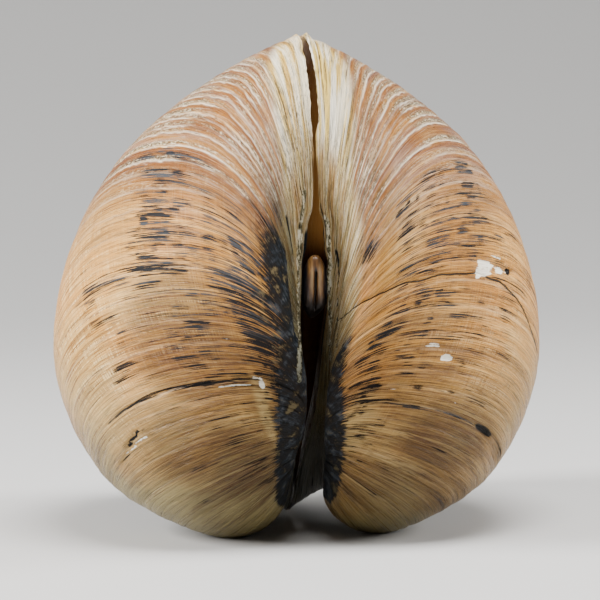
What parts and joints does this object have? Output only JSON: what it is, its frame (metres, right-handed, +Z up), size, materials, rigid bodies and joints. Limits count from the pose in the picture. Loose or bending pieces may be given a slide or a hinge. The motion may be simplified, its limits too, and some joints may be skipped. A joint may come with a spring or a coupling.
{
  "type": "oxheart clam shell",
  "caption": "Heart-shaped bivalve shell with swollen, coiled umbones, both valves closed and joined by their ligament.",
  "frame": {"origin": "middle of the bounding box, on the surface that the shell lies on", "axes": "+X across the two valves, +Y from the ligament side to the belly, +Z up"},
  "size_m": [0.0776, 0.0798, 0.0792],
  "materials": {
    "shell": "satin orange-tan shell with fine growth lines",
    "ligament": "glossy dried brown horn"
  },
  "bodies": {
    "root": {"left_valve": "shell", "right_valve": "shell", "ligament": "ligament"}
  },
  "joints": []
}
